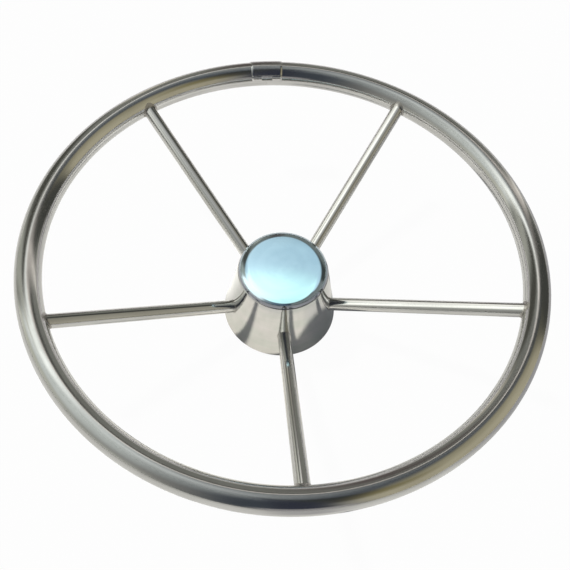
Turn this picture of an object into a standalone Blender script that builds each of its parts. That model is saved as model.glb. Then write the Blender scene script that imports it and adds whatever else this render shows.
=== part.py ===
"""A five-spoke boat steering wheel in polished stainless steel.

The rim is one bent tube whose butt joint is held by an inner sleeve and covered by a sheet clip.
Five straight rods run down from the rim to a steel boss, through holes in a conical sheet hub.
A push-in centre cap closes the hub over the nut that holds the wheel on the helm's tapered shaft.

Metres, +Z up. The wheel's axis is Z, the origin is the centre of the hub's back face, the cap is on
top, and one spoke points along -Y.
"""
import math

import bmesh
import bpy
from mathutils import Matrix

# Rim
RIM_DIAMETER = 0.394            # over the tube: 15.5 inches
TUBE_DIAMETER = 0.01905         # 3/4 inch tube
TUBE_WALL = 0.0015
RIM_HEIGHT = 0.0824             # rim's middle plane above the hub's back face
JOINT_ANGLE = math.radians(91.7)
JOINT_GAP = 0.0006              # between the tube's two cut ends
SLEEVE_LENGTH = 0.044
SLEEVE_WALL = 0.0018
CLIP_LENGTH = 0.0273            # along the rim
CLIP_SHEET = 0.0004
CLIP_WRAP = (math.radians(-112), math.radians(177))   # round the tube, from outward (0) over the top (90)
CLIP_LIP = 0.0014               # how far the clip's free edge stands up
CLIP_NOTCH_WIDTH = 0.0095
CLIP_NOTCH_FROM = math.radians(148)

# Spokes
SPOKE_COUNT = 5
SPOKE_DIAMETER = 0.0105
SPOKE_RISE = math.radians(22.5)
SPOKE_AIM = 0.0019              # its line crosses the tube's middle radius this far above the middle plane
SPOKE_SHORT_OF_MIDDLE = 0.0036  # its outer end stops this far before the middle of the tube
SPOKE_SOCKET_RADIUS = 0.0145    # its inner end's distance from the wheel's axis

# Hub
HUB_BASE_RADIUS = 0.0471
HUB_TAPER = 0.207               # radius lost per metre of height
HUB_TOP = 0.0555
HUB_SHEET = 0.0015
HUB_SHOULDER = 0.0012           # outer rounding between the cone and the lip
MOUTH_RADIUS = 0.0305
MOUTH_BEND = 0.0015
MOUTH_FLANGE = 0.0070           # the mouth's wall, down from the lip
PLATE_THICKNESS = 0.0030
BOSS_RADIUS = 0.0190
BOSS_HEIGHT = 0.0320
BOSS_CHAMFER = 0.0010
BORE_DIAMETER = 0.01905         # at the back face: 3/4 inch shaft
BORE_TAPER = 1 / 12             # diameter lost per metre of length: one inch in a foot
KEYWAY_WIDTH = 0.0048
KEYWAY_DEPTH = 0.0024
KEYWAY_ANGLE = math.radians(90)

# Nut and washer for the shaft's 5/8-18 thread
THREAD_RADIUS = 0.0074
NUT_FLATS = 0.0238
NUT_HEIGHT = 0.0115
NUT_CHAMFER = 0.0012
WASHER_RADIUS = 0.0170
WASHER_HOLE = 0.0083
WASHER_THICKNESS = 0.0020

# Centre cap
CAP_RADIUS = 0.0350
CAP_EDGE_WIDTH = 0.0090         # the elliptical rounding of its edge, inward and upward
CAP_EDGE_HEIGHT = 0.0065
CAP_CROWN = 0.0008              # further rise of the dome to its middle
CAP_SHEET = 0.0012
PLUG_FLANGE = 0.0024
PLUG_FLANGE_RADIUS = 0.0322
PLUG_RECESS = 0.0012            # the hollow under the flange, above the hub's lip
PLUG_CHAMFER = 0.0008
PLUG_SKIRT = 0.0035             # wall
PLUG_DEPTH = 0.0080             # below the hub's lip
RING_SECTION = 0.0010           # O-ring cross-section radius
RING_DROP = 0.0045              # O-ring centre below the hub's lip

GAP = 0.0003                    # between touching pieces
CUT_MARGIN = 0.002              # how far a cutter reaches past the faces that it cuts
RIM_RADIUS = (RIM_DIAMETER - TUBE_DIAMETER) / 2
TUBE_RADIUS = TUBE_DIAMETER / 2
SPOKE_RADIUS = SPOKE_DIAMETER / 2
FULL_TURN = 2 * math.pi


def clear_scene():
    for item in list(bpy.data.objects):
        bpy.data.objects.remove(item, do_unlink=True)


def make_material(name, colour, roughness, metallic):
    material = bpy.data.materials.new(name)
    material.use_nodes = True
    shader = material.node_tree.nodes["Principled BSDF"]
    shader.inputs["Base Color"].default_value = (*colour, 1.0)
    shader.inputs["Roughness"].default_value = roughness
    shader.inputs["Metallic"].default_value = metallic
    return material


def add_object(name, mesh, material=None, sharp=30):
    """Put a mesh in the scene, shaded smooth except where faces meet at more than the sharp angle."""
    mesh.shade_smooth()
    mesh.set_sharp_from_angle(angle=math.radians(sharp))
    piece = bpy.data.objects.new(name, mesh)
    bpy.context.collection.objects.link(piece)
    if material:
        mesh.materials.append(material)
    return piece


def mesh_from(bm, name):
    """Finish a closed bmesh as a mesh whose faces all point out."""
    bmesh.ops.recalc_face_normals(bm, faces=bm.faces)
    if bm.calc_volume(signed=True) < 0:
        bmesh.ops.reverse_faces(bm, faces=bm.faces)
    mesh = bpy.data.meshes.new(name)
    bm.to_mesh(mesh)
    bm.free()
    return mesh


def ellipse(centre, width, height, start, end, steps):
    """Points of an elliptical arc in the (radius, height) plane, both ends included; degrees."""
    points = []
    for step in range(steps + 1):
        angle = math.radians(start + (end - start) * step / steps)
        points.append((centre[0] + width * math.cos(angle), centre[1] + height * math.sin(angle)))
    return points


def arc(centre, radius, start, end, steps):
    return ellipse(centre, radius, radius, start, end, steps)


def turned(name, profile, segments, material=None):
    """A solid of revolution about Z from a closed profile of (radius, height) points."""
    bm = bmesh.new()
    corners = [bm.verts.new((radius, 0, height)) for radius, height in profile]
    for first, second in zip(corners, corners[1:] + corners[:1]):
        if first.co.x > 1e-6 or second.co.x > 1e-6:
            bm.edges.new((first, second))
    bmesh.ops.spin(bm, geom=bm.verts[:] + bm.edges[:], cent=(0, 0, 0), axis=(0, 0, 1),
                   angle=FULL_TURN, steps=segments, use_merge=True)
    bmesh.ops.remove_doubles(bm, verts=bm.verts, dist=1e-6)
    return add_object(name, mesh_from(bm, name), material)


def rod(radius, length, sides):
    """A mesh of a rod that runs up Z from the origin."""
    bm = bmesh.new()
    bmesh.ops.create_cone(bm, cap_ends=True, segments=sides, radius1=radius, radius2=radius,
                          depth=length, matrix=Matrix.Translation((0, 0, length / 2)))
    return mesh_from(bm, "rod")


def cut(piece, cutter, operation="DIFFERENCE"):
    cutter.hide_render = True
    cutter.display_type = "WIRE"
    boolean = piece.modifiers.new(f"{operation.lower()} {cutter.name}", "BOOLEAN")
    boolean.operation = operation
    boolean.object = cutter
    boolean.solver = "EXACT"


def on_rim(angle, distance, around):
    """The point at an angle round the rim, a distance from the tube's centre line, and an angle round
    the tube that starts outward and turns over the top."""
    reach = RIM_RADIUS + distance * math.cos(around)
    return (reach * math.cos(angle), reach * math.sin(angle), RIM_HEIGHT + distance * math.sin(around))


def skin(bm, rows, closed=True):
    """Quads between each row of vertices and the next; closed rows run round to their first vertex."""
    count = len(rows[0])
    for row, following in zip(rows, rows[1:]):
        for corner in range(count if closed else count - 1):
            after = (corner + 1) % count
            bm.faces.new((row[corner], row[after], following[after], following[corner]))


def bent_tube(name, outer, bore, start, end, steps, sides, material):
    """A tube with open ends that follows the rim from the start angle to the end angle."""
    bm = bmesh.new()
    rows = {outer: [], bore: []}
    for distance, stations in rows.items():
        for step in range(steps + 1):
            angle = start + (end - start) * step / steps
            points = [on_rim(angle, distance, FULL_TURN * side / sides) for side in range(sides)]
            stations.append([bm.verts.new(point) for point in points])
        skin(bm, stations)
    skin(bm, [rows[outer][0], rows[bore][0]])
    skin(bm, [rows[outer][-1], rows[bore][-1]])
    return add_object(name, mesh_from(bm, name), material)


def place_on_spoke(piece, number, along):
    """Lay a piece that runs up Z along spoke 1 to 5, starting this far from the rim's middle radius."""
    angle = FULL_TURN * (number - 1) / SPOKE_COUNT - math.pi / 2
    reach = RIM_RADIUS + along * math.cos(SPOKE_RISE)
    piece.location = (reach * math.cos(angle), reach * math.sin(angle),
                      RIM_HEIGHT + SPOKE_AIM + along * math.sin(SPOKE_RISE))
    piece.rotation_euler = (0, math.pi / 2 - SPOKE_RISE, angle)


SPOKE_START = (SPOKE_SOCKET_RADIUS - RIM_RADIUS) / math.cos(SPOKE_RISE)
SPOKE_END = -SPOKE_AIM * math.sin(SPOKE_RISE) - SPOKE_SHORT_OF_MIDDLE


def make_spokes(material):
    for number in range(1, SPOKE_COUNT + 1):
        spoke = add_object(f"spoke_{number}", rod(SPOKE_RADIUS, SPOKE_END - SPOKE_START, 24), material)
        place_on_spoke(spoke, number, SPOKE_START)


def make_spoke_cutters():
    """The holes that the spokes need in the rim, the hub shell and the boss."""
    cutters = []
    for number in range(1, SPOKE_COUNT + 1):
        length = SPOKE_END - SPOKE_START + 2 * GAP
        cutter = add_object(f"spoke_hole_{number}", rod(SPOKE_RADIUS + GAP, length, 24))
        place_on_spoke(cutter, number, SPOKE_START - GAP)
        cutters.append(cutter)
    return cutters


def make_rim(material, spoke_cutters):
    half_gap = JOINT_GAP / 2 / RIM_RADIUS
    rim = bent_tube("rim_tube", TUBE_RADIUS, TUBE_RADIUS - TUBE_WALL, JOINT_ANGLE + half_gap,
                    JOINT_ANGLE + FULL_TURN - half_gap, 80, 16, material)
    for cutter in spoke_cutters:
        cut(rim, cutter)


def make_joint_sleeve(material):
    """The spigot inside the rim tube that lines up its two ends."""
    outer = (TUBE_RADIUS - TUBE_WALL) * math.cos(math.pi / 16) - GAP
    half_turn = SLEEVE_LENGTH / 2 / RIM_RADIUS
    bent_tube("rim_joint_sleeve", outer, outer - SLEEVE_WALL, JOINT_ANGLE - half_turn,
              JOINT_ANGLE + half_turn, 6, 16, material)


def make_joint_clip(material):
    """A springy sheet clip, snapped over the joint from outside, with a notch in its free inner edge."""
    bore = TUBE_RADIUS + GAP
    wrap_steps = 22
    section = []
    for step in range(wrap_steps + 1):
        around = CLIP_WRAP[0] + (CLIP_WRAP[1] - CLIP_WRAP[0]) * step / wrap_steps
        lift = CLIP_LIP * max(0, step - wrap_steps + 2) ** 2 / 4
        section.append((around, bore + lift))
    bm = bmesh.new()
    half_turn = CLIP_LENGTH / 2 / RIM_RADIUS
    rings = []
    for angle in (JOINT_ANGLE - half_turn, JOINT_ANGLE, JOINT_ANGLE + half_turn):
        inside = [bm.verts.new(on_rim(angle, distance, around)) for around, distance in section]
        outside = [bm.verts.new(on_rim(angle, distance + CLIP_SHEET, around))
                   for around, distance in section]
        rings.append(inside + outside[::-1])
    skin(bm, rings)
    for ring in (rings[0], rings[-1]):
        skin(bm, [ring[:wrap_steps + 1], ring[:wrap_steps:-1]], closed=False)
    clip = add_object("rim_joint_clip", mesh_from(bm, "rim_joint_clip"), material)
    cut(clip, make_notch_cutter())


def make_notch_cutter():
    """A wedge round the tube that opens the clip's free edge between its two tabs."""
    bm = bmesh.new()
    half_turn = CLIP_NOTCH_WIDTH / 2 / RIM_RADIUS
    past_the_edge = CLIP_WRAP[1] + CUT_MARGIN / TUBE_RADIUS
    corners = []
    for angle in (JOINT_ANGLE - half_turn, JOINT_ANGLE + half_turn):
        for around in (CLIP_NOTCH_FROM, past_the_edge):
            for distance in (TUBE_RADIUS - GAP, TUBE_RADIUS + 2 * CUT_MARGIN):
                corners.append(bm.verts.new(on_rim(angle, distance, around)))
    bmesh.ops.convex_hull(bm, input=corners)
    return add_object("clip_notch", mesh_from(bm, "clip_notch"))


def hub_radius(height):
    """The cone's outer radius."""
    return HUB_BASE_RADIUS - HUB_TAPER * height


def make_hub_shell(material, spoke_cutters):
    """The spun cone: it turns in over a rounded shoulder to a lip, and down again inside the mouth."""
    lean = math.degrees(math.atan(HUB_TAPER))
    slant_sheet = HUB_SHEET / math.cos(math.radians(lean))
    shoulder_height = HUB_TOP - HUB_SHOULDER
    shoulder_radius = (hub_radius(shoulder_height)
                       - HUB_SHOULDER / math.cos(math.radians(lean)))
    profile = [(HUB_BASE_RADIUS, 0)]
    profile += arc((shoulder_radius, shoulder_height), HUB_SHOULDER, lean, 90, 5)
    profile += arc((MOUTH_RADIUS + MOUTH_BEND, HUB_TOP - MOUTH_BEND), MOUTH_BEND, 90, 180, 4)
    profile += [(MOUTH_RADIUS, HUB_TOP - MOUTH_FLANGE), (MOUTH_RADIUS + HUB_SHEET, HUB_TOP - MOUTH_FLANGE)]
    underside = HUB_TOP - HUB_SHEET
    profile += [(MOUTH_RADIUS + HUB_SHEET, underside), (hub_radius(underside) - slant_sheet, underside)]
    profile += [(HUB_BASE_RADIUS - slant_sheet, 0)]
    shell = turned("hub_shell", profile, 64, material)
    for cutter in spoke_cutters:
        cut(shell, cutter)


def make_boss(material, spoke_cutters):
    """The machined core: tapered bore with a keyway, and a blind socket for each spoke."""
    bore_back = BORE_DIAMETER / 2
    bore_front = bore_back - BORE_TAPER * BOSS_HEIGHT / 2
    profile = [(bore_back, 0), (BOSS_RADIUS, 0), (BOSS_RADIUS, BOSS_HEIGHT - BOSS_CHAMFER),
               (BOSS_RADIUS - BOSS_CHAMFER, BOSS_HEIGHT), (bore_front, BOSS_HEIGHT)]
    boss = turned("hub_boss", profile, 48, material)
    for cutter in spoke_cutters:
        cut(boss, cutter)
    cut(boss, make_keyway_cutter(bore_back))


def make_keyway_cutter(bore_back):
    bm = bmesh.new()
    depth = bore_back + KEYWAY_DEPTH
    height = BOSS_HEIGHT + 2 * CUT_MARGIN
    size = Matrix.Diagonal((depth, KEYWAY_WIDTH, height, 1))
    bmesh.ops.create_cube(bm, size=1, matrix=Matrix.Translation((depth / 2, 0, BOSS_HEIGHT / 2)) @ size)
    cutter = add_object("keyway", mesh_from(bm, "keyway"))
    cutter.rotation_euler = (0, 0, KEYWAY_ANGLE)
    return cutter


def make_back_plate(material):
    """The disc that joins the boss to the foot of the cone."""
    lean = math.atan(HUB_TAPER)
    slant_sheet = HUB_SHEET / math.cos(lean)
    foot = HUB_BASE_RADIUS - slant_sheet - GAP
    profile = [(BOSS_RADIUS + GAP, 0), (foot, 0), (foot - HUB_TAPER * PLATE_THICKNESS, PLATE_THICKNESS),
               (BOSS_RADIUS + GAP, PLATE_THICKNESS)]
    turned("hub_back_plate", profile, 64, material)


def make_washer(material):
    base = BOSS_HEIGHT + GAP
    profile = [(WASHER_HOLE, base), (WASHER_RADIUS, base), (WASHER_RADIUS, base + WASHER_THICKNESS),
               (WASHER_HOLE, base + WASHER_THICKNESS)]
    turned("shaft_washer", profile, 36, material)


def make_nut(material):
    """A hexagon nut: a six-sided turned ring, with its corners rounded off by a chamfered disc."""
    base = BOSS_HEIGHT + 2 * GAP + WASHER_THICKNESS
    top = base + NUT_HEIGHT
    corner = NUT_FLATS / 2 / math.cos(math.pi / 6)
    nut = turned("shaft_nut", [(THREAD_RADIUS, base), (corner, base), (corner, top), (THREAD_RADIUS, top)],
                 6, material)
    bore = add_object("nut_bore", rod(THREAD_RADIUS, NUT_HEIGHT * 2, 32))
    bore.location = (0, 0, base - NUT_HEIGHT / 2)
    waist = corner + GAP
    shoulder = waist - NUT_CHAMFER * 2
    rounding = turned("nut_rounding", [(0, base), (shoulder, base), (waist, base + NUT_CHAMFER),
                                       (waist, top - NUT_CHAMFER), (shoulder, top), (0, top)], 36)
    cut(nut, bore)
    cut(nut, rounding, "INTERSECT")


def make_cap(material):
    """The pressed dome: a shallow crown that rolls over an elliptical edge down to the hub's lip."""
    base = HUB_TOP + GAP
    crown_reach = CAP_RADIUS - CAP_EDGE_WIDTH
    crown_radius = (crown_reach ** 2 + CAP_CROWN ** 2) / (2 * CAP_CROWN)
    crown_centre = (0, base + CAP_EDGE_HEIGHT + CAP_CROWN - crown_radius)
    spread = math.degrees(math.asin(crown_reach / crown_radius))
    edge_centre = (crown_reach, base)
    outside = arc(crown_centre, crown_radius, 90, 90 - spread, 3)
    outside += ellipse(edge_centre, CAP_EDGE_WIDTH, CAP_EDGE_HEIGHT, 75, 0, 6)
    inside = ellipse(edge_centre, CAP_EDGE_WIDTH - CAP_SHEET, CAP_EDGE_HEIGHT - CAP_SHEET, 0, 75, 4)
    inside += arc(crown_centre, crown_radius - CAP_SHEET, 90 - spread, 90, 1)
    turned("centre_cap", outside + inside, 48, material)


def make_plug(material):
    """The nylon plug inside the cap: a flange under the dome and a grooved skirt in the hub's mouth."""
    seat = HUB_TOP + GAP
    wide = PLUG_FLANGE_RADIUS
    skirt = MOUTH_RADIUS - GAP
    groove_floor = skirt - 2 * RING_SECTION - GAP
    ring_height = HUB_TOP - RING_DROP
    half_groove = RING_SECTION + GAP
    bottom = HUB_TOP - PLUG_DEPTH
    profile = [(0, seat + PLUG_FLANGE), (wide, seat + PLUG_FLANGE), (wide, seat), (skirt, seat),
               (skirt, ring_height + half_groove), (groove_floor, ring_height + half_groove),
               (groove_floor, ring_height - half_groove), (skirt, ring_height - half_groove),
               (skirt, bottom + PLUG_CHAMFER), (skirt - PLUG_CHAMFER, bottom), (skirt - PLUG_SKIRT, bottom),
               (skirt - PLUG_SKIRT, seat + PLUG_RECESS), (0, seat + PLUG_RECESS)]
    turned("cap_plug", profile, 48, material)


def make_ring(material):
    """The rubber O-ring that grips the hub's mouth."""
    centre = (MOUTH_RADIUS - GAP - RING_SECTION, HUB_TOP - RING_DROP)
    turned("cap_o_ring", arc(centre, RING_SECTION, 0, 315, 7), 40, material)


def build():
    clear_scene()
    polished = make_material("polished_stainless", (0.62, 0.62, 0.60), 0.12, 1.0)
    clip_steel = make_material("clip_stainless", (0.58, 0.58, 0.57), 0.22, 1.0)
    machined = make_material("machined_stainless", (0.50, 0.50, 0.49), 0.38, 1.0)
    nylon = make_material("black_nylon", (0.02, 0.02, 0.02), 0.5, 0.0)
    rubber = make_material("black_rubber", (0.015, 0.015, 0.015), 0.7, 0.0)
    spoke_cutters = make_spoke_cutters()
    make_rim(polished, spoke_cutters)
    make_joint_sleeve(machined)
    make_joint_clip(clip_steel)
    make_spokes(polished)
    make_hub_shell(polished, spoke_cutters)
    make_boss(machined, spoke_cutters)
    make_back_plate(machined)
    make_washer(machined)
    make_nut(machined)
    make_cap(polished)
    make_plug(nylon)
    make_ring(rubber)


build()
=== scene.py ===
"""How the five-spoke stainless steel boat wheel looks.

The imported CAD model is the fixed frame. Every piece here is built round its nodes, in metres, +Z up,
and rides on its body. The polished metal shows mostly what surrounds it, so the studio at the end
of the script matters as much as the steel.
"""

import math

import bmesh
import bpy
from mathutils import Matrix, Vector


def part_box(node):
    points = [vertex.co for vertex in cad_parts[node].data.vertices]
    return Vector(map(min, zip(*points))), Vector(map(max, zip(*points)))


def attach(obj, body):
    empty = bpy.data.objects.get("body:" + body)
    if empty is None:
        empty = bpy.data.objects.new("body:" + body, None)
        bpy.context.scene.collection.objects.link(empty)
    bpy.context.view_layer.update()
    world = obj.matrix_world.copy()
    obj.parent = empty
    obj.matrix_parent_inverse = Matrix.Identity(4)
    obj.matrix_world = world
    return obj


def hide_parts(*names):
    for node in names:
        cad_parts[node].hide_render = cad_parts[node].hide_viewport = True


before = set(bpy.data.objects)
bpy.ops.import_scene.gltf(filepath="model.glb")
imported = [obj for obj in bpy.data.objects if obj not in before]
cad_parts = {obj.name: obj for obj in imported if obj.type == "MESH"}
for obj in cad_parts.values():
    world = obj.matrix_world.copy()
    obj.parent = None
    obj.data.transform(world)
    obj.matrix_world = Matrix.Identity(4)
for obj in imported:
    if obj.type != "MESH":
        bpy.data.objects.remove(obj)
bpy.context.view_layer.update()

FULL_TURN = 2 * math.pi
UP = Vector((0, 0, 1))


# ---------------------------------------------------------------- sizes from the frame

def corners(node):
    return [vertex.co.copy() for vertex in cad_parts[node].data.vertices]


def reach(point):
    """Distance from the wheel's axis."""
    return math.hypot(point[0], point[1])


def spoke_line(number):
    """The two ends of a spoke's centre line, inner end first."""
    points = sorted(corners(f"spoke_{number}"), key=reach)
    middle = (reach(points[0]) + reach(points[-1])) / 2
    ends = ([p for p in points if reach(p) < middle], [p for p in points if reach(p) >= middle])
    return [sum(end, Vector()) / len(end) for end in ends]


rim_low, rim_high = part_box("rim_tube")
TUBE_RADIUS = (rim_high.z - rim_low.z) / 2
RIM_HEIGHT = (rim_high.z + rim_low.z) / 2
RIM_RADIUS = max(reach(p) for p in corners("rim_tube")) - TUBE_RADIUS
TUBE_WALL = 0.0015

SPOKES = range(1, 6)
spoke_low, spoke_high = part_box("spoke_1")
SPOKE_RADIUS = (spoke_high.x - spoke_low.x) / 2

shell_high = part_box("hub_shell")[1]
HUB_BASE_RADIUS = shell_high.x
HUB_TOP = shell_high.z
HUB_TAPER = 0.207               # radius lost per metre of height
HUB_SHEET = 0.0015
HUB_SHOULDER = 0.0012           # outer rounding between the cone and the lip
MOUTH_RADIUS = 0.0305
MOUTH_BEND = 0.0015
MOUTH_FLANGE = 0.0070

cap_low, cap_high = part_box("centre_cap")
CAP_PROUD = 0.0002              # how much wider the dome is than its CAD node
CAP_RADIUS = cap_high.x + CAP_PROUD
CAP_EDGE_WIDTH = 0.0090         # the elliptical rounding of the cap's edge
CAP_EDGE_TURN = 86              # degrees of the ellipse that the edge takes up
CAP_CROWN = 0.0008
CAP_SHEET = 0.0012

JOINT_ANGLE = math.radians(91.7)
JOINT_GAP = 0.00006             # a hairline: the tube's ends are pressed together
CLIP_LENGTH = 0.0273
CLIP_SHEET = 0.0004
CLIP_GAP = 0.00015
CLIP_WRAP = (math.radians(-112), math.radians(177))
CLIP_NOTCH_WIDTH = 0.0095
CLIP_NOTCH_FROM = math.radians(148)
CLIP_BEAD_LENGTH = 0.0053       # the tabs end in a low bead
CLIP_BEAD_HEIGHT = 0.0011
CLIP_BEAD_TURN = 0.94 * math.pi  # the part of a sine's hump that the bead follows
CLIP_BEAD_SKEW = 0.4            # under 1 brings the bead's crest nearer to its start
CLIP_END_DROP = 0.00045         # how far the clip's two ends close down on the tube
CLIP_END_WIDTH = 0.0020
CLIP_EDGE_ROUNDING = 0.00015

WELD_FILLET = 0.0016
WELD_SINK = 0.0004
SEAM_RADIUS = 0.00032
SEAM_STANDOFF = 0.3             # share of the seam's radius that lies outside the spoke
MEETING_FROM = 0.7              # a spoke's surfaces are traced from this share of its length

BOSS_RADIUS = 0.0190
BOSS_HEIGHT = 0.0320
BOSS_CHAMFER = 0.0010
BORE_BACK = 0.009525            # the tapered bore's radius at the back face
BORE_TAPER = 1 / 12
KEYWAY_WIDTH = 0.0048
KEYWAY_DEPTH = 0.0024
KEYWAY_ANGLE = math.radians(90)

INNER_CLEARANCE = 0.0003        # between the plug, the ring and the hub's mouth
SMALL_EDGE = 0.0003             # the bevel on the washer and the plug's flange
PLUG_WALL = 0.0035
PLUG_FOOT = 0.0008
PLUG_RECESS = 0.0012


# ---------------------------------------------------------------- mesh tools

def lengths(points, closed=False):
    """Distance from the first point to each point, in metres; a closed run adds its whole length."""
    line = list(points) + ([points[0]] if closed else [])
    total = [0.0]
    for first, second in zip(line, line[1:]):
        total.append(total[-1] + (Vector(second) - Vector(first)).length)
    return total


def add_grid(bm, rows, along, across, around=True, closed=False):
    """Quads over rows of points, with UVs in metres: U is a row's place, V a column's.

    around joins each row's last point to its first, and closed joins the last row to the first."""
    uv_layer = bm.loops.layers.uv.verify()
    verts = [[bm.verts.new(point) for point in row] for row in rows]
    columns = len(rows[0])
    for i in range(len(rows) - (0 if closed else 1)):
        for j in range(columns - (0 if around else 1)):
            next_i = (i + 1) % len(rows)
            next_j = (j + 1) % columns
            face = bm.faces.new((verts[i][j], verts[i][next_j],
                                 verts[next_i][next_j], verts[next_i][j]))
            places = ((i, j), (i, j + 1), (i + 1, j + 1), (i + 1, j))
            for loop, (row, column) in zip(face.loops, places):
                loop[uv_layer].uv = (along[row], across[column])


def finish_piece(bm, name, body, material, replaced=(), sharp=35):
    """Weld the grids of a piece into one closed surface, attach it to its body and hide the CAD nodes it
    replaces.
    """
    bmesh.ops.remove_doubles(bm, verts=bm.verts, dist=1e-7)
    bmesh.ops.recalc_face_normals(bm, faces=bm.faces)
    if bm.calc_volume(signed=True) < 0:
        bmesh.ops.reverse_faces(bm, faces=bm.faces)
    mesh = bpy.data.meshes.new(name)
    bm.to_mesh(mesh)
    bm.free()
    mesh.shade_smooth()
    mesh.set_sharp_from_angle(angle=math.radians(sharp))
    mesh.materials.append(material)
    piece = bpy.data.objects.new(name, mesh)
    bpy.context.scene.collection.objects.link(piece)
    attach(piece, body)
    if replaced:
        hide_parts(*replaced)
    return piece


def ellipse(centre, width, height, start, end, steps):
    """Points of an elliptical arc in the (radius, height) plane, both ends included; degrees."""
    points = []
    for step in range(steps + 1):
        angle = math.radians(start + (end - start) * step / steps)
        points.append((centre[0] + width * math.cos(angle), centre[1] + height * math.sin(angle)))
    return points


def arc(centre, radius, start, end, steps):
    """Points of a circular arc in the (radius, height) plane; degrees."""
    return ellipse(centre, radius, radius, start, end, steps)


def round_tube(radius, sides):
    """How far each of the sides is round a tube, in metres, with the closing side at the end."""
    return [radius * FULL_TURN * side / sides for side in range(sides + 1)]


def turned(bm, profile, segments, mean_radius, closed=True):
    """A surface of revolution about Z. U runs round the axis and V along the profile."""
    rows = []
    for step in range(segments):
        angle = FULL_TURN * step / segments
        rows.append([(r * math.cos(angle), r * math.sin(angle), z) for r, z in profile])
    along = [FULL_TURN * step / segments * mean_radius for step in range(segments + 1)]
    across = lengths([(r, 0, z) for r, z in profile], closed=closed)
    add_grid(bm, rows, along, across, around=closed, closed=True)


def on_rim(angle, distance, around):
    """The point at an angle round the rim, a distance from the tube's centre line, and an angle round
    the tube that starts outward and turns over the top."""
    out = RIM_RADIUS + distance * math.cos(around)
    height = RIM_HEIGHT + distance * math.sin(around)
    return Vector((out * math.cos(angle), out * math.sin(angle), height))


# ---------------------------------------------------------------- shader tools

class Shader:
    """A node material or world under construction: short calls that each add one node."""

    def __init__(self, owner):
        owner.use_nodes = True
        self.tree = owner.node_tree
        self.tree.nodes.clear()

    def node(self, kind, inputs=None, **settings):
        made = self.tree.nodes.new(kind)
        for key, value in settings.items():
            setattr(made, key, value)
        for key, value in (inputs or {}).items():
            self.put(made.inputs[key], value)
        return made

    def put(self, socket, value):
        if isinstance(value, bpy.types.NodeSocket):
            self.tree.links.new(value, socket)
        else:
            socket.default_value = value

    def math(self, operation, *values, clamp=False):
        inputs = dict(enumerate(values))
        return self.node("ShaderNodeMath", inputs, operation=operation, use_clamp=clamp).outputs[0]

    def noise(self, vector, scale, detail=2.0, roughness=0.5):
        inputs = {"Vector": vector, "Scale": scale, "Detail": detail, "Roughness": roughness}
        return self.node("ShaderNodeTexNoise", inputs).outputs["Fac"]

    def stretch(self, vector, scale, location=(0, 0, 0)):
        inputs = {"Vector": vector, "Scale": scale, "Location": location}
        return self.node("ShaderNodeMapping", inputs).outputs[0]

    def ramp(self, value, low, high, to_low=0.0, to_high=1.0, smooth=True):
        """Map a value from low..high to to_low..to_high, held at both ends."""
        inputs = {"Value": value, "From Min": low, "From Max": high,
                  "To Min": to_low, "To Max": to_high}
        kind = "SMOOTHSTEP" if smooth else "LINEAR"
        return self.node("ShaderNodeMapRange", inputs, interpolation_type=kind).outputs[0]

    def mix(self, factor, first, second):
        made = self.node("ShaderNodeMix", data_type="RGBA")
        self.put(made.inputs["Factor"], factor)
        self.put(made.inputs[6], first)
        self.put(made.inputs[7], second)
        return made.outputs[2]

    def about_axis(self, place):
        """A place's distance from the Z axis, and its height."""
        parts = self.node("ShaderNodeSeparateXYZ", {"Vector": place}).outputs
        squares = [self.math("MULTIPLY", parts[axis], parts[axis]) for axis in (0, 1)]
        return self.math("SQRT", self.math("ADD", *squares)), parts[2]


def grey(value, tint=(1, 1, 1)):
    """A grey of this value, as an RGBA colour, with a tint laid over it."""
    return (value * tint[0], value * tint[1], value * tint[2], 1.0)


# ---------------------------------------------------------------- materials

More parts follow.
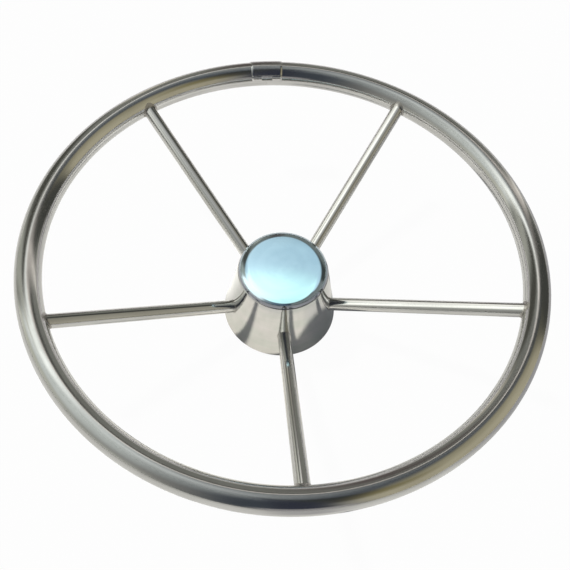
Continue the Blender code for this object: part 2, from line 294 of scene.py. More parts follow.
def steel(name, light, dark, roughness, line_depth, grain, anisotropy=0.0, painted_dark_edge=None):
    """Polished steel with fine lines along U.

    light and dark are its colours between which it drifts; grain is (length, width) of a polishing
    line in metres; line_depth is how deep the lines are, in metres; painted_dark_edge is (start, full,
    colour): two radii round the Z axis between which the steel darkens to that colour, a painted dark
    reflection along an edge."""
    material = bpy.data.materials.new(name)
    shade = Shader(material)
    place = shade.node("ShaderNodeUVMap").outputs[0]
    lines = shade.noise(shade.stretch(place, (1 / grain[0], 1 / grain[1], 1)), 1.0, 3.0, 0.6)
    bands = shade.noise(shade.stretch(place, (9, 160, 1), (3.1, 7.7, 0)), 1.0, 2.0)
    clouds = shade.noise(shade.stretch(place, (22, 60, 1), (5.3, 1.9, 0)), 1.0, 4.0, 0.55)
    scratches = shade.noise(shade.stretch(place, (40, 2600, 1), (0.7, 0.2, 0)), 1.0, 1.0)
    fine = shade.math("ADD", shade.math("MULTIPLY", lines, 0.5), shade.math("MULTIPLY", bands, 0.5))
    both = shade.math("ADD", shade.math("MULTIPLY", clouds, 0.5), shade.math("MULTIPLY", fine, 0.5))
    drift = shade.ramp(both, 0.36, 0.64)
    colour = shade.mix(drift, dark, light)
    scratch = shade.ramp(scratches, 0.70, 0.78)
    colour = shade.mix(shade.math("MULTIPLY", scratch, 0.25), colour, dark)
    # Painted reflection: between the two radii the colour darkens, so an edge seems to mirror dark
    # surroundings.
    if painted_dark_edge:
        start, full, painted_edge_colour = painted_dark_edge
        out, _ = shade.about_axis(shade.node("ShaderNodeTexCoord").outputs["Object"])
        colour = shade.mix(shade.ramp(out, start, full), colour, painted_edge_colour)
    rough = shade.ramp(clouds, 0.3, 0.7, roughness * 1.25, roughness * 0.8)
    rough = shade.math("ADD", rough, shade.math("MULTIPLY", scratch, 0.06))
    bump = shade.node("ShaderNodeBump", {"Height": lines, "Distance": line_depth, "Strength": 1.0})
    surface = shade.node("ShaderNodeBsdfPrincipled", {
        "Base Color": colour, "Roughness": rough, "Metallic": 1.0, "Normal": bump.outputs[0]})
    if anisotropy:
        surface.inputs["Anisotropic"].default_value = anisotropy
        tangent = shade.node("ShaderNodeTangent", direction_type="UV_MAP")
        shade.put(surface.inputs["Tangent"], tangent.outputs[0])
    shade.node("ShaderNodeOutputMaterial", {"Surface": surface.outputs[0]})
    return material


def machined(name):
    """Turned steel inside the hub, seen only when it is taken apart: object coordinates, no UVs."""
    material = bpy.data.materials.new(name)
    shade = Shader(material)
    place = shade.node("ShaderNodeTexCoord").outputs["Object"]
    out, height = shade.about_axis(place)
    ring = shade.node("ShaderNodeCombineXYZ", {"X": out, "Y": height, "Z": 0.0}).outputs[0]
    grooves = shade.noise(shade.stretch(ring, (2600, 2600, 1)), 1.0, 2.0)
    clouds = shade.noise(place, 90.0, 4.0)
    colour = shade.mix(shade.ramp(clouds, 0.35, 0.65),
                       grey(0.30, (1, 0.98, 0.95)), grey(0.50, (1, 0.99, 0.97)))
    rough = shade.ramp(grooves, 0.3, 0.7, 0.30, 0.46)
    bump = shade.node("ShaderNodeBump", {"Height": grooves, "Distance": 0.00004, "Strength": 1.0})
    surface = shade.node("ShaderNodeBsdfPrincipled", {
        "Base Color": colour, "Roughness": rough, "Metallic": 1.0, "Normal": bump.outputs[0]})
    shade.node("ShaderNodeOutputMaterial", {"Surface": surface.outputs[0]})
    return material


def moulded(name, dark, light, roughness, grain_scale, grain_depth):
    """Moulded nylon or rubber: a fine matt grain with a little dust."""
    material = bpy.data.materials.new(name)
    shade = Shader(material)
    place = shade.node("ShaderNodeTexCoord").outputs["Object"]
    grain = shade.noise(place, grain_scale, 3.0)
    dust = shade.noise(place, 60.0, 5.0, 0.65)
    colour = shade.mix(shade.ramp(dust, 0.45, 0.75), dark, light)
    rough = shade.ramp(grain, 0.3, 0.7, roughness - 0.08, roughness + 0.08)
    bump = shade.node("ShaderNodeBump", {"Height": grain, "Distance": grain_depth, "Strength": 1.0})
    surface = shade.node("ShaderNodeBsdfPrincipled", {
        "Base Color": colour, "Roughness": rough, "Normal": bump.outputs[0]})
    shade.node("ShaderNodeOutputMaterial", {"Surface": surface.outputs[0]})
    return material


rim_steel = steel("rim_steel", grey(0.62, (1, 0.995, 0.975)), grey(0.53, (1, 0.99, 0.965)),
                  0.125, 0.000001, (0.060, 0.0007), anisotropy=0.30)
spoke_steel = steel("spoke_steel", grey(0.63, (1, 0.995, 0.965)), grey(0.55, (1, 0.99, 0.95)),
                    0.12, 0.0000015, (0.050, 0.0006))
shell_steel = steel("shell_steel", grey(0.64, (1, 0.97, 0.955)), grey(0.58, (0.97, 1, 0.945)),
                    0.08, 0.0000015, (0.050, 0.0008))
# The cap's bluish colour is painted reflection: it tints all it mirrors towards the blue of the sky.
cap_steel = steel("cap_steel", (0.56, 0.66, 0.70, 1), (0.50, 0.60, 0.65, 1),
                  # The cap's outer edge darkens in colour: a painted dark reflection round its edge.
                  0.08, 0.000002, (0.050, 0.0008), painted_dark_edge=(0.0335, 0.0349, (0.27, 0.28, 0.32, 1)))
clip_steel = steel("clip_steel", grey(0.60, (1, 0.985, 0.97)), grey(0.50, (1, 0.985, 0.97)),
                   0.18, 0.000002, (0.020, 0.0006))
weld_steel = steel("weld_steel", grey(0.46, (1, 0.96, 0.90)), grey(0.30, (1, 0.95, 0.88)),
                   0.26, 0.000010, (0.006, 0.0010))
inner_steel = machined("machined_steel")
nylon = moulded("black_nylon", grey(0.012), grey(0.035), 0.48, 4000, 0.00003)
rubber = moulded("black_rubber", grey(0.010), grey(0.028), 0.70, 2500, 0.00004)


# ---------------------------------------------------------------- rim

def build_rim():
    """The tube bent to a ring, open inside, with a hairline gap where its two ends meet."""
    stations, sides = 600, 64
    half_gap = JOINT_GAP / 2 / RIM_RADIUS
    start = JOINT_ANGLE + half_gap
    sweep = FULL_TURN - 2 * half_gap
    angles = [start + sweep * step / stations for step in range(stations + 1)]
    around = [FULL_TURN * side / sides - math.pi / 2 for side in range(sides)]
    bm = bmesh.new()
    skins = []
    for distance in (TUBE_RADIUS, TUBE_RADIUS - TUBE_WALL):
        rows = [[on_rim(angle, distance, turn) for turn in around] for angle in angles]
        add_grid(bm, rows, [RIM_RADIUS * angle for angle in angles], round_tube(distance, sides))
        skins.append(rows)
    for end in (0, -1):
        rim_end = [skins[0][end], skins[1][end]]
        add_grid(bm, rim_end, [0, TUBE_WALL], round_tube(TUBE_RADIUS, sides))
    finish_piece(bm, "rim", "wheel", rim_steel, ("rim_tube",))


# ---------------------------------------------------------------- spokes and their joints

def rim_gap(point):
    """How far a point is outside the rim's tube."""
    return math.hypot(reach(point) - RIM_RADIUS, point[2] - RIM_HEIGHT) - TUBE_RADIUS


def cone_gap(point):
    """How far a point is outside the hub's cone."""
    return reach(point) - (HUB_BASE_RADIUS - HUB_TAPER * point[2])


def travel(start, direction, gap, limit):
    """How far start goes along direction until it meets the surface where gap is zero."""
    halvings = 30
    near, far = 0.0, limit
    for _ in range(halvings):
        middle = (near + far) / 2
        if gap(start + direction * middle) > 0:
            near = middle
        else:
            far = middle
    return near


def spoke_frame(number):
    """A spoke's inner end, its length, the direction outward along it and two directions across it."""
    inner, outer = spoke_line(number)
    length = (outer - inner).length
    ahead = (outer - inner) / length
    side = ahead.cross(UP).normalized()
    return inner, length, ahead, side, side.cross(ahead)


def build_spoke(number):
    """A straight round rod, closed at both ends."""
    inner, length, ahead, side, over = spoke_frame(number)
    stations, sides = 24, 40
    around = [FULL_TURN * turn / sides - math.pi / 2 for turn in range(sides)]
    ring = [(side * math.cos(turn) + over * math.sin(turn)) * SPOKE_RADIUS for turn in around]
    rows = [[inner for _ in ring]]
    along = [0.0]
    for step in range(stations + 1):
        share = step / stations
        rows.append([inner + ahead * length * share + offset for offset in ring])
        along.append(length * share)
    rows.append([inner + ahead * length for _ in ring])
    along.append(length)
    bm = bmesh.new()
    add_grid(bm, rows, along, round_tube(SPOKE_RADIUS, sides))
    finish_piece(bm, f"spoke_{number}_rod", "wheel", spoke_steel,
                 (f"spoke_{number}",))


def build_rim_weld(number):
    """The polished fillet where a spoke runs into the rim."""
    inner, length, ahead, side, over = spoke_frame(number)
    start = inner + ahead * length * MEETING_FROM
    limit = length * (1 - MEETING_FROM)
    sides, fillet_steps = 40, 6
    section = []
    for step in range(fillet_steps + 1):
        turn = math.radians(90 * step / fillet_steps)
        section.append((WELD_FILLET * (1 - math.cos(turn)), WELD_FILLET * (1 - math.sin(turn))))
    section.append((-WELD_SINK, -WELD_SINK))
    rows = []
    for grow, back in section:
        row = []
        for turn in range(sides):
            angle = FULL_TURN * turn / sides
            offset = (side * math.cos(angle) + over * math.sin(angle)) * (SPOKE_RADIUS + grow)
            distance = travel(start + offset, ahead, rim_gap, limit)
            row.append(start + offset + ahead * (distance - back))
        rows.append(row)
    bm = bmesh.new()
    along = lengths([(grow, back, 0) for grow, back in section], closed=True)
    add_grid(bm, rows, along, round_tube(SPOKE_RADIUS, sides), closed=True)
    finish_piece(bm, f"spoke_{number}_rim_weld", "wheel", weld_steel)


def build_hub_seam(number):
    """The thin dark line where a spoke passes into the cone."""
    inner, length, ahead, side, over = spoke_frame(number)
    start = inner + ahead * length * MEETING_FROM
    sides, section = 48, 10
    rows = []
    for turn in range(sides):
        angle = FULL_TURN * turn / sides
        outward = side * math.cos(angle) + over * math.sin(angle)
        edge = start + outward * (SPOKE_RADIUS + SEAM_RADIUS * SEAM_STANDOFF)
        centre = edge - ahead * travel(edge, -ahead, cone_gap, length)
        rows.append([centre + (outward * math.cos(FULL_TURN * k / section)
                               + ahead * math.sin(FULL_TURN * k / section)) * SEAM_RADIUS
                     for k in range(section)])
    bm = bmesh.new()
    add_grid(bm, rows, round_tube(SPOKE_RADIUS, sides), round_tube(SEAM_RADIUS, section), closed=True)
    finish_piece(bm, f"spoke_{number}_hub_seam", "wheel", weld_steel)


# ---------------------------------------------------------------- hub

def build_shell():
    """The spun cone: its wall, the rounded shoulder, the lip and the mouth's wall, and the inside."""
    wall_steps = 12
    lean = math.atan(HUB_TAPER)
    slant_sheet = HUB_SHEET / math.cos(lean)
    shoulder_height = HUB_TOP - HUB_SHOULDER
    shoulder_radius = HUB_BASE_RADIUS - HUB_TAPER * shoulder_height - HUB_SHOULDER / math.cos(lean)
    lean_degrees = math.degrees(lean)
    foot = (HUB_BASE_RADIUS, 0.0)
    shoulder = arc((shoulder_radius, shoulder_height), HUB_SHOULDER, lean_degrees, 90, 12)
    wall = [(foot[0] + (shoulder[0][0] - foot[0]) * step / wall_steps,
             shoulder[0][1] * step / wall_steps) for step in range(wall_steps)]
    profile = wall + shoulder
    profile += arc((MOUTH_RADIUS + MOUTH_BEND, HUB_TOP - MOUTH_BEND), MOUTH_BEND, 90, 180, 8)
    profile += [(MOUTH_RADIUS, HUB_TOP - MOUTH_FLANGE),
                (MOUTH_RADIUS + HUB_SHEET, HUB_TOP - MOUTH_FLANGE)]
    underside = HUB_TOP - HUB_SHEET
    profile += [(MOUTH_RADIUS + HUB_SHEET, underside),
                (HUB_BASE_RADIUS - HUB_TAPER * underside - slant_sheet, underside),
                (HUB_BASE_RADIUS - slant_sheet, 0.0)]
    bm = bmesh.new()
    turned(bm, profile, 160, HUB_BASE_RADIUS)
    finish_piece(bm, "hub_cone", "wheel", shell_steel, ("hub_shell",))


def build_cap():
    """The pressed dome: a nearly flat crown, then an elliptical edge down to its rim."""
    base = cap_low.z
    edge_height = cap_high.z - base - CAP_CROWN
    crown_reach = CAP_RADIUS - CAP_EDGE_WIDTH
    crown_radius = (crown_reach ** 2 + CAP_CROWN ** 2) / (2 * CAP_CROWN)
    crown_centre = (0, cap_high.z - crown_radius)
    spread = math.degrees(math.asin(crown_reach / crown_radius))
    edge_centre = (crown_reach, base)
    outside = arc(crown_centre, crown_radius, 90, 90 - spread, 14)[:-1]
    outside += ellipse(edge_centre, CAP_EDGE_WIDTH, edge_height, CAP_EDGE_TURN, 0, 26)
    inside = ellipse(edge_centre, CAP_EDGE_WIDTH - CAP_SHEET, edge_height - CAP_SHEET,
                     0, CAP_EDGE_TURN, 10)
    inside += [(0, cap_high.z - CAP_SHEET)]
    bm = bmesh.new()
    turned(bm, outside + inside, 128, CAP_RADIUS)
    finish_piece(bm, "cap_dome", "cap", cap_steel, ("centre_cap",))


# ---------------------------------------------------------------- rim joint clip

def clip_section():
    """The clip's section as (turn round the tube, distance from its centre line): an arc that hugs the
    tube, then a low bead that stiffens the free edge."""
    hug_steps, bead_steps = 60, 30
    surface = TUBE_RADIUS + CLIP_GAP + CLIP_SHEET
    bead_turn = CLIP_BEAD_LENGTH / surface
    bead_start = CLIP_WRAP[1] - bead_turn
    section = [(CLIP_WRAP[0] + (bead_start - CLIP_WRAP[0]) * step / hug_steps, surface)
               for step in range(hug_steps + 1)]
    for step in range(1, bead_steps + 1):
        share = step / bead_steps
        rise = CLIP_BEAD_HEIGHT * math.sin(CLIP_BEAD_TURN * share ** CLIP_BEAD_SKEW)
        section.append((bead_start + bead_turn * share, surface + rise))
    return section


def build_clip():
    """The springy sheet over the rim's joint: ends that close on the tube, and two beaded tabs."""
    columns = 56
    half = CLIP_LENGTH / 2
    half_notch = CLIP_NOTCH_WIDTH / 2
    bm = bmesh.new()
    uv_layer = bm.loops.layers.uv.verify()
    section = clip_section()
    travelled = lengths([on_rim(JOINT_ANGLE, distance, turn) for turn, distance in section])
    verts = []
    for column in range(columns + 1):
        along = -half + CLIP_LENGTH * column / columns
        from_end = half - abs(along)
        drop = CLIP_END_DROP * max(0.0, 1 - from_end / CLIP_END_WIDTH) ** 2
        verts.append([bm.verts.new(on_rim(JOINT_ANGLE - along / RIM_RADIUS, distance - drop, turn))
                      for turn, distance in section])
    for column in range(columns):
        middle = abs(-half + CLIP_LENGTH * (column + 0.5) / columns)
        for row in range(len(section) - 1):
            if middle < half_notch and (section[row][0] + section[row + 1][0]) / 2 > CLIP_NOTCH_FROM:
                continue
            places = ((column, row), (column, row + 1), (column + 1, row + 1), (column + 1, row))
            face = bm.faces.new([verts[i][j] for i, j in places])
            for loop, (i, j) in zip(face.loops, places):
                loop[uv_layer].uv = (CLIP_LENGTH * i / columns, travelled[j])
    loose = [vert for vert in bm.verts if not vert.link_faces]
    bmesh.ops.delete(bm, geom=loose, context="VERTS")
    bmesh.ops.recalc_face_normals(bm, faces=bm.faces)
    first = min(bm.faces, key=lambda face: -face.calc_center_median().z)
    if first.normal.z < 0:
        bmesh.ops.reverse_faces(bm, faces=bm.faces)
    mesh = bpy.data.meshes.new("joint_clip")
    bm.to_mesh(mesh)
    bm.free()
    mesh.shade_smooth()
    mesh.materials.append(clip_steel)
    clip = bpy.data.objects.new("joint_clip", mesh)
    bpy.context.scene.collection.objects.link(clip)
    thickness = clip.modifiers.new("sheet", "SOLIDIFY")
    thickness.thickness = CLIP_SHEET
    thickness.offset = -1
    rounding = clip.modifiers.new("edges", "BEVEL")
    rounding.width = CLIP_EDGE_ROUNDING
    rounding.segments = 3
    rounding.angle_limit = math.radians(50)
    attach(clip, "wheel")
    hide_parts("rim_joint_clip")


# ---------------------------------------------------------------- parts inside the hub

def build_boss():
    """The machined core with its tapered bore and keyway, without the spokes' hidden sockets."""
    front = BORE_BACK - BORE_TAPER * BOSS_HEIGHT / 2
    half_key = KEYWAY_WIDTH / 2
    steps, key_steps = 96, 4
    key_edge = math.asin(half_key / BORE_BACK)
    stations = [(KEYWAY_ANGLE + key_edge + (FULL_TURN - 2 * key_edge) * step / steps, None)
                for step in range(steps + 1)]
    stations += [(KEYWAY_ANGLE - key_edge + 2 * key_edge * step / key_steps,
                  half_key * (1 - 2 * step / key_steps))
                 for step in range(key_steps + 1)]
    key_floor = BORE_BACK + KEYWAY_DEPTH
    turn_x, turn_y = math.cos(KEYWAY_ANGLE), math.sin(KEYWAY_ANGLE)
    rows = []
    for angle, sideways in stations:
        row = []
        for radius, height in ((BORE_BACK, 0), (front, BOSS_HEIGHT)):
            if sideways is None:
                row.append((radius * math.cos(angle), radius * math.sin(angle), height))
            else:
                row.append((key_floor * turn_x + sideways * turn_y,
                            key_floor * turn_y - sideways * turn_x, height))
        outside = [(BOSS_RADIUS, 0), (BOSS_RADIUS, BOSS_HEIGHT - BOSS_CHAMFER),
                   (BOSS_RADIUS - BOSS_CHAMFER, BOSS_HEIGHT)]
        outside = [(radius * math.cos(angle), radius * math.sin(angle), height)
                   for radius, height in outside]
        rows.append([row[0]] + outside + [row[1]])
    along = [BOSS_RADIUS * FULL_TURN * step / len(rows) for step in range(len(rows) + 1)]
    bm = bmesh.new()
    add_grid(bm, rows, along, lengths(rows[0], closed=True), closed=True)
    finish_piece(bm, "boss", "wheel", inner_steel, ("hub_boss",))


def build_turned_part(name, body, material, node, profile):
    """A part that is one profile turned about the Z axis."""
    bm = bmesh.new()
    turned(bm, profile, 128, max(radius for radius, height in profile))
    finish_piece(bm, name, body, material, (node,))


def build_back_plate():
    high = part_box("hub_back_plate")[1]
    hole = min(reach(p) for p in corners("hub_back_plate"))
    profile = [(hole, 0), (high.x, 0), (high.x - HUB_TAPER * high.z, high.z), (hole, high.z)]
    build_turned_part("back_plate", "wheel", inner_steel, "hub_back_plate",
                      profile)


def build_washer():
    low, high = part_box("shaft_washer")
    hole = min(reach(p) for p in corners("shaft_washer"))
    profile = [(hole, low.z), (high.x - SMALL_EDGE, low.z), (high.x, low.z + SMALL_EDGE),
               (high.x, high.z - SMALL_EDGE), (high.x - SMALL_EDGE, high.z), (hole, high.z)]
    build_turned_part("washer", "wheel", inner_steel, "shaft_washer", profile)


def build_plug():
    """The nylon plug: a flange under the dome, and a skirt with the ring's groove and a rounded foot."""
    low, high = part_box("cap_plug")
    ring_low, ring_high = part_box("cap_o_ring")
    seat = cap_low.z
    skirt = MOUTH_RADIUS - INNER_CLEARANCE
    groove_bottom, groove_top = ring_low.z - INNER_CLEARANCE, ring_high.z + INNER_CLEARANCE
    groove_floor = min(reach(p) for p in corners("cap_o_ring")) - INNER_CLEARANCE
    profile = [(0, high.z), (high.x - SMALL_EDGE, high.z), (high.x, high.z - SMALL_EDGE),
               (high.x, seat), (skirt, seat)]
    profile += [(skirt, groove_top), (groove_floor, groove_top),
                (groove_floor, groove_bottom), (skirt, groove_bottom)]
    profile += arc((skirt - PLUG_FOOT, low.z + PLUG_FOOT), PLUG_FOOT, 0, -90, 6)
    profile += [(skirt - PLUG_WALL, low.z), (skirt - PLUG_WALL, seat + PLUG_RECESS),
                (0, seat + PLUG_RECESS)]
    build_turned_part("plug", "cap", nylon, "cap_plug", profile)


def build_ring():
    """The O-ring, a round section turned about the axis."""
    low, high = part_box("cap_o_ring")
    section = (high.z - low.z) / 2
    centre = (max(reach(p) for p in corners("cap_o_ring")) - section, (high.z + low.z) / 2)
    profile = arc(centre, section, 0, 345, 23)
    build_turned_part("ring", "cap", rubber, "cap_o_ring", profile)


def dress(node, material):
    """A CAD node that nobody sees keeps its shape and takes the steel's looks."""
    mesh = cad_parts[node].data
    mesh.materials.clear()
    mesh.materials.append(material)


build_rim()
for spoke_number in SPOKES:
    build_spoke(spoke_number)
    build_rim_weld(spoke_number)
    build_hub_seam(spoke_number)
build_shell()
build_cap()
build_clip()
build_boss()
build_back_plate()
build_washer()
build_plug()
build_ring()
dress("rim_joint_sleeve", inner_steel)
dress("shaft_nut", inner_steel)


# ---------------------------------------------------------------- studio

# The camera sees a plain pale floor and background. The steel mirrors something else: patches of sky,
# house and hedge, and a sunlit table with the wheel's own shadows on it.
FLOOR_RADIUS = 12.0
FLOOR_DROP = 0.0002             # how far the floor lies under the hub's back face
FLOOR_GLOW = 0.97
FLOOR_SHADE = 0.006             # how much the camera sees of the shadows on the floor
BACKGROUND = (0.95, 0.95, 0.95, 1)
SKY_FILL = (0.64, 0.68, 0.76, 1)  # what lights the table and every other matt surface

# The patches. A disc has the direction of its middle (azimuth from +X towards +Y,
# elevation) and its radius. A box has its middle, its width and its height. Then come the width of
# the soft border, all in degrees, and the colour. A later patch lies over an earlier one.
ZENITH = (0.10, 0.115, 0.135, 1)
HORIZON = (0.30, 0.30, 0.285, 1)
SURROUNDINGS = (
    ("sky on the left", "disc", (158, 42, 38), 54, (0.78, 0.83, 0.80)),
    ("haze low on the left", "box", (184, 2, 84, 26), 30, (0.56, 0.57, 0.52)),
    ("dark corner behind", "box", (258, 34, 32, 70), 30, (0.065, 0.078, 0.095)),
    ("haze beside the house", "box", (170, 2, 34, 42), 26, (0.66, 0.67, 0.58)),
    ("dark hedge on the right", "disc", (65, 0, 58), 9, (0.070, 0.073, 0.066)),
    ("grey wall on the right", "disc", (74, -4, 44), 12, (0.25, 0.255, 0.23)),
    ("house", "disc", (113, 8, 47), 7, (0.25, 0.255, 0.23)),
    ("house, its lit side", "box", (147, 16, 16, 64), 10, (0.50, 0.51, 0.45)),
    ("dark doorway", "box", (123, 30, 20, 46), 10, (0.095, 0.095, 0.080)),
    ("brown post", "box", (88, 12, 8, 66), 6, (0.13, 0.11, 0.105)),
    ("pale post", "box", (104, 6, 8, 32), 7, (0.60, 0.57, 0.48)),
    ("dark room behind", "box", (304, 62, 44, 44), 24, (0.05, 0.055, 0.055)),
    ("photographer", "box", (276, 60, 21, 90), 8, (0.042, 0.048, 0.072)),
    ("ground behind the photographer", "box", (276, 2, 30, 22), 9, (0.42, 0.41, 0.42)),
)
# Extra light that only some pieces mirror. Black patches cut it away again.
OVER_RIM = (
    ("warm wall on the right", "disc", (350, 14, 54), 16, (0.25, 0.21, 0.085)),
    ("high bright cloud", "disc", (135, 70, 14), 20, (0.28, 0.29, 0.29)),
    ("bright sky over the house", "disc", (120, 8, 55), 7, (1.00, 1.02, 0.98)),
    ("less of it towards the left", "box", (182, 10, 60, 130), 50, (0.0, 0.0, 0.0)),
    ("hedge in front of them", "disc", (65, 0, 58), 9, (0.0, 0.0, 0.0)),
    ("bright edge of the hedge", "disc", (89, 10, 47), 3, (0.90, 0.84, 0.78)),
    ("the hedge inside that edge", "disc", (90, 9, 44), 3, (0.0, 0.0, 0.0)),
    ("house", "disc", (113, 8, 47), 7, (0.0, 0.0, 0.0)),
    ("bright ground ahead", "box", (84, -2, 120, 18), 8, (0.40, 0.39, 0.375)),
)
OVER_SPOKES = (
    ("warm wall on the right", "disc", (350, 14, 54), 16, (0.17, 0.15, 0.09)),
    ("hedge in front of it", "disc", (65, 0, 58), 9, (0.0, 0.0, 0.0)),
    ("overhead", "disc", (250, 84, 26), 16, (0.45, 0.45, 0.43)),
    ("overhead window", "box", (165, 74, 86, 34), 14, (1.22, 1.21, 1.16)),
    ("window on the left", "box", (188, 50, 56, 40), 12, (0.98, 0.97, 0.92)),
    ("window ahead", "box", (118, 42, 56, 26), 10, (1.20, 1.20, 1.16)),
    ("low window ahead", "box", (136, 24, 26, 36), 10, (1.05, 1.05, 1.00)),
    ("low haze", "box", (137, -4, 36, 36), 12, (0.36, 0.36, 0.32)),
    ("pale room behind", "box", (236, 20, 56, 84), 20, (0.12, 0.12, 0.11)),
)
OVER_CAP = (
    ("blue sky ahead", "box", (76, 68, 168, 48), 12, (0.66, 0.88, 1.00)),
    ("blue dusk behind", "box", (250, 30, 56, 60), 26, (0.08, 0.12, 0.16)),
    ("pale sky overhead", "disc", (262, 81, 40), 8, (1.00, 1.45, 1.38)),
    ("white sky on the left", "box", (190, 20, 66, 84), 18, (1.0, 1.05, 1.05)),
)

# The table as the steel mirrors it: how much light it throws back near the hub and far away, a painted
# fall of light from near to far. The light patches on it are a share of the sunlight and the sky's
# light.
TABLE_NEAR = 0.36
TABLE_FAR = 0.26
TABLE_SPREAD = (0.20, 0.95)     # from near to far, in metres from the axis
SUN_FROM = (140, 53)            # azimuth and elevation, in degrees
SUN_STRENGTH = 6.9
SUN_COLOUR = (1, 0.97, 0.92)
SUN_WIDTH = 6                   # degrees across: the softness of its shadows
SOFTBOX_PLACE = (-0.5, 0.6, 2.0)
SOFTBOX_SIZE = (2.4, 2.0)
SOFTBOX_POWER = 6.0


def patch_mask(shade, direction, elevation, kind, place, border):
    """One inside a patch, falling softly to zero over its border."""
    azimuth, middle = place[:2]
    if kind == "disc":
        level = math.cos(math.radians(middle))
        centre = (level * math.cos(math.radians(azimuth)), level * math.sin(math.radians(azimuth)),
                  math.sin(math.radians(middle)))
        towards = shade.node("ShaderNodeVectorMath", {0: direction, 1: centre},
                             operation="DOT_PRODUCT").outputs["Value"]
        off = shade.math("MULTIPLY", shade.math("ARCCOSINE", towards), math.degrees(1))
        return shade.ramp(off, place[2] + border / 2, place[2] - border / 2)
    turned_to = shade.node("ShaderNodeVectorRotate",
                           {"Vector": direction, "Angle": -math.radians(azimuth)},
                           rotation_type="Z_AXIS").outputs[0]
    parts = shade.node("ShaderNodeSeparateXYZ", {"Vector": turned_to})
    bearing = shade.math("ARCTAN2", parts.outputs[1], parts.outputs[0])
    off = shade.math("ABSOLUTE", shade.math("MULTIPLY", bearing, math.degrees(1)))
    across = shade.ramp(off, place[2] / 2 + border / 2, place[2] / 2 - border / 2)
    rise = shade.math("ABSOLUTE", shade.math("SUBTRACT", elevation, middle))
    up = shade.ramp(rise, place[3] / 2 + border / 2, place[3] / 2 - border / 2)
    return shade.math("MULTIPLY", across, up)


def paint_patches(shade, direction, colour, patches):
    """Lay patches over a colour, or over the sky's own run from the horizon up if it is None."""
    height = shade.node("ShaderNodeSeparateXYZ", {"Vector": direction}).outputs[2]
    elevation = shade.math("MULTIPLY", shade.math("ARCSINE", height), math.degrees(1))
    if colour is None:
        colour = shade.mix(shade.ramp(elevation, 20, 78), HORIZON, ZENITH)
    for name, kind, place, border, light in patches:
        mask = patch_mask(shade, direction, elevation, kind, place, border)
        mask.node.label = name
        colour = shade.mix(mask, colour, (*light, 1))
    return colour


def build_world():
    """The surroundings in mirror images, a plain background for the camera, an even fill elsewhere."""
    world = bpy.data.worlds.new("studio")
    bpy.context.scene.world = world
    shade = Shader(world)
    direction = shade.node("ShaderNodeTexCoord").outputs["Generated"]
    colour = paint_patches(shade, direction, None, SURROUNDINGS)
    path = shade.node("ShaderNodeLightPath").outputs
    seen = shade.mix(path["Is Diffuse Ray"], colour, SKY_FILL)
    seen = shade.mix(path["Is Camera Ray"], seen, BACKGROUND)
    background = shade.node("ShaderNodeBackground", {"Color": seen, "Strength": 1.0})
    shade.node("ShaderNodeOutputWorld", {"Surface": background.outputs[0]})


def build_sky_for(name, radius, pieces, patches):
    """A far, clear dome that adds light to the mirror images in these pieces only."""
    bm = bmesh.new()
    bmesh.ops.create_icosphere(bm, subdivisions=3, radius=radius)
    mesh = bpy.data.meshes.new(name)
    bm.to_mesh(mesh)
    bm.free()
    dome = bpy.data.objects.new(name, mesh)
    bpy.context.scene.collection.objects.link(dome)
    material = bpy.data.materials.new(name)
    shade = Shader(material)
    material.cycles.emission_sampling = "NONE"
    place = shade.node("ShaderNodeNewGeometry").outputs["Position"]
    direction = shade.node("ShaderNodeVectorMath", {0: place}, operation="NORMALIZE").outputs[0]
    colour = paint_patches(shade, direction, (0, 0, 0, 1), patches)
    glow = shade.node("ShaderNodeEmission", {"Color": colour, "Strength": 1.0}).outputs[0]
    clear = shade.node("ShaderNodeBsdfTransparent").outputs[0]
    both = shade.node("ShaderNodeAddShader", {0: glow, 1: clear}).outputs[0]
    shade.node("ShaderNodeOutputMaterial", {"Surface": both})
    mesh.materials.append(material)
    receivers = bpy.data.collections.new(name)
    for piece in pieces:
        receivers.objects.link(piece)
    dome.light_linking.receiver_collection = receivers
    dome.visible_camera = False
    dome.visible_diffuse = False
    dome.visible_shadow = False


def build_floor():
    """The table: plain and pale to the camera, sunlit and shadowed in the steel's mirror images."""
    bpy.ops.mesh.primitive_circle_add(vertices=96, radius=FLOOR_RADIUS, fill_type="NGON",
                                      location=(0, 0, -FLOOR_DROP))
    floor = bpy.context.object
    floor.name = "studio_floor"
    material = bpy.data.materials.new("pale_table")
    shade = Shader(material)
    place = shade.node("ShaderNodeTexCoord").outputs["Object"]
    pale = shade.node("ShaderNodeBsdfPrincipled", {
        "Base Color": grey(FLOOR_SHADE), "Roughness": 0.9, "Specular IOR Level": 0.0,
        "Emission Color": (1, 1, 1, 1), "Emission Strength": FLOOR_GLOW}).outputs[0]
    sunlit = shade.node("ShaderNodeBsdfDiffuse", {"Color": table_tone_and_painted_light(shade, place)}).outputs[0]
    path = shade.node("ShaderNodeLightPath").outputs
    both = shade.node("ShaderNodeMixShader", {0: path["Is Camera Ray"], 1: sunlit, 2: pale}).outputs[0]
    shade.node("ShaderNodeOutputMaterial", {"Surface": both})
    floor.data.materials.append(material)


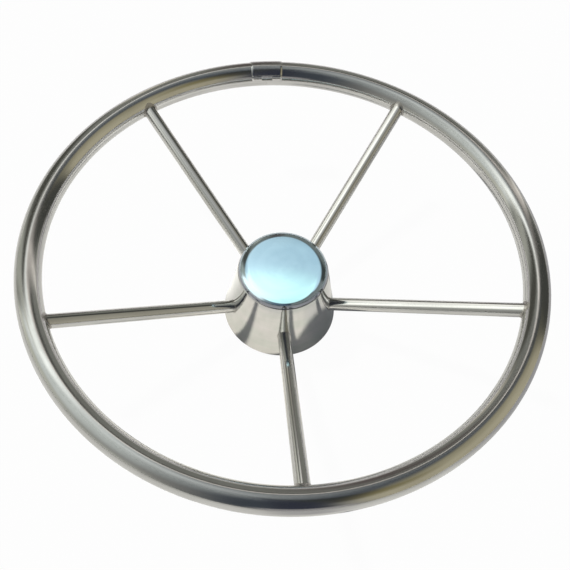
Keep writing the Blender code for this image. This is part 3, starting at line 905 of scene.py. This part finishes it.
def table_tone_and_painted_light(shade, place):
    """Painted light and shade on the table's tone in mirror images: duller far out, with soft zones over
    it.
    """
    flat = shade.node("ShaderNodeVectorMath", {0: place, 1: (1, 1, 0)}, operation="MULTIPLY").outputs[0]
    distance = shade.node("ShaderNodeVectorMath", {0: flat}, operation="LENGTH").outputs["Value"]
    mottle = shade.ramp(shade.noise(place, 60.0, 3.0), 0.3, 0.7, 0.93, 1.0)
    colour = shade.mix(shade.ramp(distance, *TABLE_SPREAD),
                       grey(TABLE_NEAR, (1, 1, 0.96)), grey(TABLE_FAR, (1, 1, 0.94)))
    parts = shade.node("ShaderNodeSeparateXYZ", {"Vector": place})
    bearing = shade.math("ARCTAN2", parts.outputs[1], parts.outputs[0])
    bearing = shade.math("MULTIPLY", bearing, math.degrees(1))
    # Each zone paints light or shade on the table: lighter where more light falls, darker where shade
    # falls.
    # name, inner and outer radius in metres, middle and half of its turn in degrees, borders, colour
    zones = (
        ("ahead", (0.22, 3.0), (85, 50), (0.06, 30), (0.33, 0.32, 0.325)),
        ("right side", (0.20, 3.0), (0, 40), (0.06, 40), (0.20, 0.20, 0.205)),
        ("behind the camera", (0.28, 3.0), (-86, 8), (0.10, 12), (0.24, 0.24, 0.24)),
        ("in front of the hub", (0.0, 0.105), (-112, 60), (0.03, 20), (0.455, 0.445, 0.415)),
        ("behind the hub's left", (0.0, 0.10), (130, 36), (0.03, 30), (0.57, 0.57, 0.55)),
    )
    for name, (near, far), (middle, half), (edge, blur), light in zones:
        inside = shade.math("MULTIPLY", shade.ramp(distance, near - edge / 2, near + edge / 2),
                            shade.ramp(distance, far + edge / 2, far - edge / 2))
        off = shade.math("ABSOLUTE", shade.math("SUBTRACT", bearing, middle))
        mask = shade.math("MULTIPLY", inside, shade.ramp(off, half + blur / 2, half - blur / 2))
        mask.node.label = name
        colour = shade.mix(mask, colour, (*light, 1))
    return shade.node("ShaderNodeVectorMath", {0: colour, 3: mottle}, operation="SCALE").outputs[0]


def build_lights(blockers):
    """A softbox and a sun that light the table. Only the blockers throw the sun's shadows."""
    softbox = bpy.data.lights.new("overhead_softbox", "AREA")
    softbox.shape = "RECTANGLE"
    softbox.size, softbox.size_y = SOFTBOX_SIZE
    softbox.energy = SOFTBOX_POWER
    lamp = bpy.data.objects.new("overhead_softbox", softbox)
    lamp.location = SOFTBOX_PLACE
    lamp.rotation_euler = (-lamp.location).to_track_quat("-Z", "Y").to_euler()
    lamp.visible_glossy = False
    bpy.context.scene.collection.objects.link(lamp)
    sunlight = bpy.data.lights.new("hazy_sun", "SUN")
    sunlight.energy = SUN_STRENGTH
    sunlight.color = SUN_COLOUR
    sunlight.angle = math.radians(SUN_WIDTH)
    sun = bpy.data.objects.new("hazy_sun", sunlight)
    azimuth, elevation = [math.radians(turn) for turn in SUN_FROM]
    level = math.cos(elevation)
    towards = Vector((level * math.cos(azimuth), level * math.sin(azimuth), math.sin(elevation)))
    sun.rotation_euler = towards.to_track_quat("Z", "Y").to_euler()
    sun.visible_glossy = False
    bpy.context.scene.collection.objects.link(sun)
    shaded_by = bpy.data.collections.new("hazy_sun_shadows")
    for piece in blockers:
        shaded_by.objects.link(piece)
    sun.light_linking.blocker_collection = shaded_by


CAMERA_PLACE = (-0.04235, -0.28020, 0.47878)
CAMERA_TURN = (26.572, -2.241, -2.818)          # degrees
CAMERA_LENS = 40.71
CAMERA_SHIFT = (0.0298, 0.1140)


def build_camera():
    camera = bpy.data.cameras.new("camera")
    camera.sensor_width = 36
    camera.lens = CAMERA_LENS
    camera.shift_x, camera.shift_y = CAMERA_SHIFT
    camera.clip_start = 0.01
    holder = bpy.data.objects.new("camera", camera)
    holder.location = CAMERA_PLACE
    holder.rotation_euler = [math.radians(turn) for turn in CAMERA_TURN]
    bpy.context.scene.collection.objects.link(holder)
    bpy.context.scene.camera = holder


build_floor()
build_world()
meshes = {piece.name: piece for piece in bpy.data.objects if piece.type == "MESH"}
spoke_pieces = [piece for name, piece in meshes.items() if name.endswith(("_rod", "_rim_weld"))]
# The domes have different radii, so that no two lie in one place.
build_sky_for("sky_over_rim", 20.0, [meshes["rim"], meshes["joint_clip"]], OVER_RIM)
build_sky_for("sky_over_spokes", 25.0, spoke_pieces, OVER_SPOKES)
build_sky_for("sky_over_cap", 30.0, [meshes["cap_dome"]], OVER_CAP)
build_lights([piece for name, piece in meshes.items() if name not in ("rim", "joint_clip")])
build_camera()
bpy.context.scene.view_settings.view_transform = "Standard"
